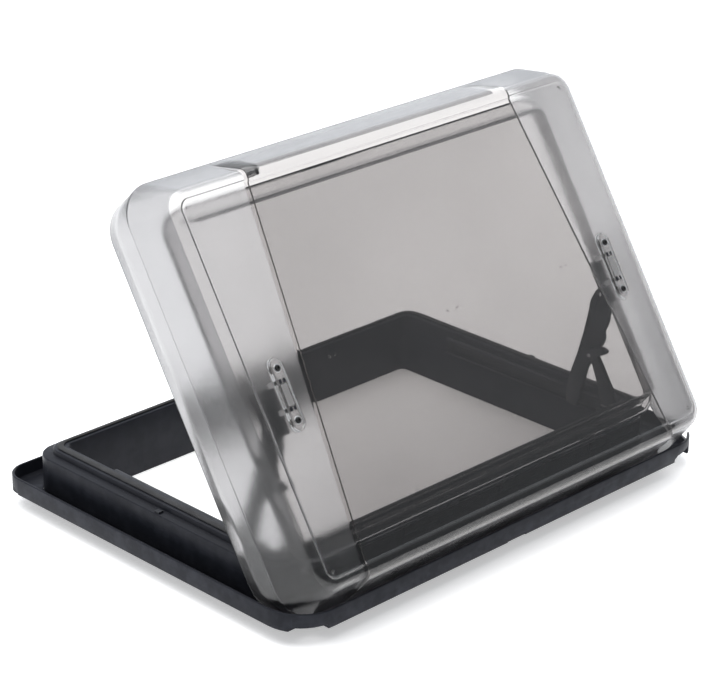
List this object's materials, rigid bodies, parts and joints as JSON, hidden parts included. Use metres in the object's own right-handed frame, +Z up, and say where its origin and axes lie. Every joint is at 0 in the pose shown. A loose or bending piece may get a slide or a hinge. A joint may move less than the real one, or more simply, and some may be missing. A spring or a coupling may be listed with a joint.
{
  "type": "roof vent cover",
  "caption": "Hinged roof vent cover: rectangular black frame with a gutter and raised collar, and a smoked double-skin dome lid held open by folding side stays.",
  "frame": {"origin": "centre of the underside of the open cover's bounding box, at the bottom edge of the neck that drops into the roof", "axes": "+X along the hinge, +Y from the hinge side to the opening side, +Z up away from the roof"},
  "size_m": [0.785, 0.6034, 0.5293],
  "materials": {
    "frame_plastic": "satin black moulding",
    "black_plastic": "satin",
    "smoked_acrylic": "clear, grey tinted",
    "seal_rubber": "matt",
    "grey_pad": "matt",
    "dark_screw": "dark coated",
    "pin_steel": "satin"
  },
  "bodies": {
    "frame": {"gutter_frame": "frame_plastic", "collar": "frame_plastic", "collar_seal": "seal_rubber", "ledge_clip_left": "black_plastic", "ledge_clip_right": "black_plastic", "guide_rail_left": "black_plastic", "guide_rail_right": "black_plastic", "stay_seat_left": "black_plastic", "stay_seat_right": "black_plastic", "seat_pad_left": "grey_pad", "seat_pad_right": "grey_pad", "hinge_frame_leaf_1": "black_plastic", "hinge_frame_leaf_2": "black_plastic", "hinge_frame_leaf_3": "black_plastic", "hinge_frame_leaf_4": "black_plastic", "hinge_pin": "pin_steel"},
    "lid": {"outer_dome": "smoked_acrylic", "inner_pane": "smoked_acrylic", "boss_left": "smoked_acrylic", "boss_right": "smoked_acrylic", "boss_screw_left_1": "dark_screw", "boss_screw_left_2": "dark_screw", "boss_screw_right_1": "dark_screw", "boss_screw_right_2": "dark_screw", "bracket_post_left_1": "black_plastic", "bracket_post_left_2": "black_plastic", "bracket_post_right_1": "black_plastic", "bracket_post_right_2": "black_plastic", "lid_bracket_left": "black_plastic", "lid_bracket_right": "black_plastic", "spacer_1": "black_plastic", "spacer_2": "black_plastic", "spacer_3": "black_plastic", "spacer_4": "black_plastic", "spacer_5": "black_plastic", "spacer_6": "black_plastic", "hinge_lid_leaf_1": "black_plastic", "hinge_lid_leaf_2": "black_plastic", "hinge_lid_leaf_3": "black_plastic"},
    "arm_left": {"stay_arm_left": "black_plastic", "arm_pin_left": "pin_steel", "arm_shoe_left": "black_plastic", "knee_pin_left": "pin_steel"},
    "link_left": {"stay_link_left": "black_plastic"},
    "arm_right": {"stay_arm_right": "black_plastic", "arm_pin_right": "pin_steel", "arm_shoe_right": "black_plastic", "knee_pin_right": "pin_steel"},
    "link_right": {"stay_link_right": "black_plastic"}
  },
  "joints": [
    {"name": "lid_hinge", "type": "hinge", "parent": "frame", "child": "lid", "pos_m": [0, -0.2144, 0.0673], "axis": [1, 0, 0], "range_deg": [-57.5, 0]},
    {"name": "arm_pivot_left", "type": "hinge", "parent": "lid", "child": "arm_left", "pos_m": [-0.31, -0.14923, 0.2379], "axis": [1, 0, 0], "range_deg": [0, 120.8]},
    {"name": "knee_pivot_left", "type": "hinge", "parent": "arm_left", "child": "link_left", "pos_m": [-0.302, -0.1398, 0.1455], "axis": [1, 0, 0], "range_deg": [0, 39.2]},
    {"name": "arm_pivot_right", "type": "hinge", "parent": "lid", "child": "arm_right", "pos_m": [0.31, -0.14923, 0.2379], "axis": [1, 0, 0], "range_deg": [0, 120.8]},
    {"name": "knee_pivot_right", "type": "hinge", "parent": "arm_right", "child": "link_right", "pos_m": [0.302, -0.1398, 0.1455], "axis": [1, 0, 0], "range_deg": [0, 39.2]}
  ],
  "couplings": [
    {"joint": "arm_pivot_left", "follows": "lid_hinge", "ratio": -2.0989},
    {"joint": "knee_pivot_left", "follows": "lid_hinge", "ratio": -0.67826},
    {"joint": "arm_pivot_right", "follows": "lid_hinge", "ratio": -2.0989},
    {"joint": "knee_pivot_right", "follows": "lid_hinge", "ratio": -0.67826}
  ]
}
